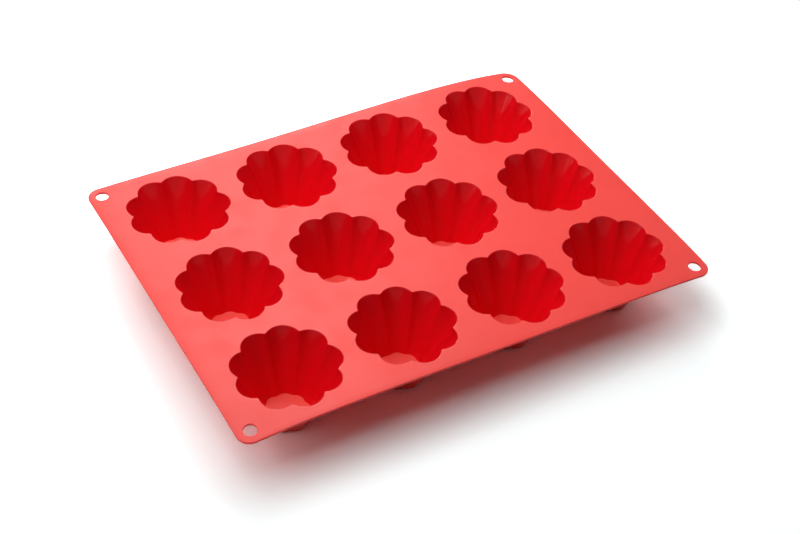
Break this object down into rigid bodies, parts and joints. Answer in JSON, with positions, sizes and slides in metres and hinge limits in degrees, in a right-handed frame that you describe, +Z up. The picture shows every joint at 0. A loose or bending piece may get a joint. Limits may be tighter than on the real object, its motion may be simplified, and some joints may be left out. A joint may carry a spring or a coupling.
{
  "type": "silicone muffin mould",
  "caption": "Flexible baking mould: a thin flat rectangular sheet with round corners and hanging holes, and rows of tapering fluted cups whose floors push up to release the cakes.",
  "frame": {"origin": "under the middle of the deck, on the plane that the cups stand on", "axes": "+X along the deck's long side and the rows of four cups, +Y towards the back row, +Z up out of the cups"},
  "size_m": [0.3274, 0.2392, 0.0415],
  "materials": {
    "red_silicone": "smooth satin silicone, translucent red, slightly glossy inside the cups"
  },
  "bodies": {
    "mould": {"deck_sheet": "red_silicone", "cup_wall_r1c1": "red_silicone", "cup_wall_r1c2": "red_silicone", "cup_wall_r1c3": "red_silicone", "cup_wall_r1c4": "red_silicone", "cup_wall_r2c1": "red_silicone", "cup_wall_r2c2": "red_silicone", "cup_wall_r2c3": "red_silicone", "cup_wall_r2c4": "red_silicone", "cup_wall_r3c1": "red_silicone", "cup_wall_r3c2": "red_silicone", "cup_wall_r3c3": "red_silicone", "cup_wall_r3c4": "red_silicone"},
    "floor_r1c1": {"cup_floor_r1c1": "red_silicone"},
    "floor_r1c2": {"cup_floor_r1c2": "red_silicone"},
    "floor_r1c3": {"cup_floor_r1c3": "red_silicone"},
    "floor_r1c4": {"cup_floor_r1c4": "red_silicone"},
    "floor_r2c1": {"cup_floor_r2c1": "red_silicone"},
    "floor_r2c2": {"cup_floor_r2c2": "red_silicone"},
    "floor_r2c3": {"cup_floor_r2c3": "red_silicone"},
    "floor_r2c4": {"cup_floor_r2c4": "red_silicone"},
    "floor_r3c1": {"cup_floor_r3c1": "red_silicone"},
    "floor_r3c2": {"cup_floor_r3c2": "red_silicone"},
    "floor_r3c3": {"cup_floor_r3c3": "red_silicone"},
    "floor_r3c4": {"cup_floor_r3c4": "red_silicone"}
  },
  "joints": [
    {"name": "push_out_r1c1", "type": "slide", "parent": "mould", "child": "floor_r1c1", "axis": [0, 0, 1], "range_m": [0, 0.02], "stiffness_N_per_m": 150, "springref_m": -0.01, "deforming": ["cup_wall_r1c1"]},
    {"name": "push_out_r1c2", "type": "slide", "parent": "mould", "child": "floor_r1c2", "axis": [0, 0, 1], "range_m": [0, 0.02], "stiffness_N_per_m": 150, "springref_m": -0.01, "deforming": ["cup_wall_r1c2"]},
    {"name": "push_out_r1c3", "type": "slide", "parent": "mould", "child": "floor_r1c3", "axis": [0, 0, 1], "range_m": [0, 0.02], "stiffness_N_per_m": 150, "springref_m": -0.01, "deforming": ["cup_wall_r1c3"]},
    {"name": "push_out_r1c4", "type": "slide", "parent": "mould", "child": "floor_r1c4", "axis": [0, 0, 1], "range_m": [0, 0.02], "stiffness_N_per_m": 150, "springref_m": -0.01, "deforming": ["cup_wall_r1c4"]},
    {"name": "push_out_r2c1", "type": "slide", "parent": "mould", "child": "floor_r2c1", "axis": [0, 0, 1], "range_m": [0, 0.02], "stiffness_N_per_m": 150, "springref_m": -0.01, "deforming": ["cup_wall_r2c1"]},
    {"name": "push_out_r2c2", "type": "slide", "parent": "mould", "child": "floor_r2c2", "axis": [0, 0, 1], "range_m": [0, 0.02], "stiffness_N_per_m": 150, "springref_m": -0.01, "deforming": ["cup_wall_r2c2"]},
    {"name": "push_out_r2c3", "type": "slide", "parent": "mould", "child": "floor_r2c3", "axis": [0, 0, 1], "range_m": [0, 0.02], "stiffness_N_per_m": 150, "springref_m": -0.01, "deforming": ["cup_wall_r2c3"]},
    {"name": "push_out_r2c4", "type": "slide", "parent": "mould", "child": "floor_r2c4", "axis": [0, 0, 1], "range_m": [0, 0.02], "stiffness_N_per_m": 150, "springref_m": -0.01, "deforming": ["cup_wall_r2c4"]},
    {"name": "push_out_r3c1", "type": "slide", "parent": "mould", "child": "floor_r3c1", "axis": [0, 0, 1], "range_m": [0, 0.02], "stiffness_N_per_m": 150, "springref_m": -0.01, "deforming": ["cup_wall_r3c1"]},
    {"name": "push_out_r3c2", "type": "slide", "parent": "mould", "child": "floor_r3c2", "axis": [0, 0, 1], "range_m": [0, 0.02], "stiffness_N_per_m": 150, "springref_m": -0.01, "deforming": ["cup_wall_r3c2"]},
    {"name": "push_out_r3c3", "type": "slide", "parent": "mould", "child": "floor_r3c3", "axis": [0, 0, 1], "range_m": [0, 0.02], "stiffness_N_per_m": 150, "springref_m": -0.01, "deforming": ["cup_wall_r3c3"]},
    {"name": "push_out_r3c4", "type": "slide", "parent": "mould", "child": "floor_r3c4", "axis": [0, 0, 1], "range_m": [0, 0.02], "stiffness_N_per_m": 150, "springref_m": -0.01, "deforming": ["cup_wall_r3c4"]}
  ]
}
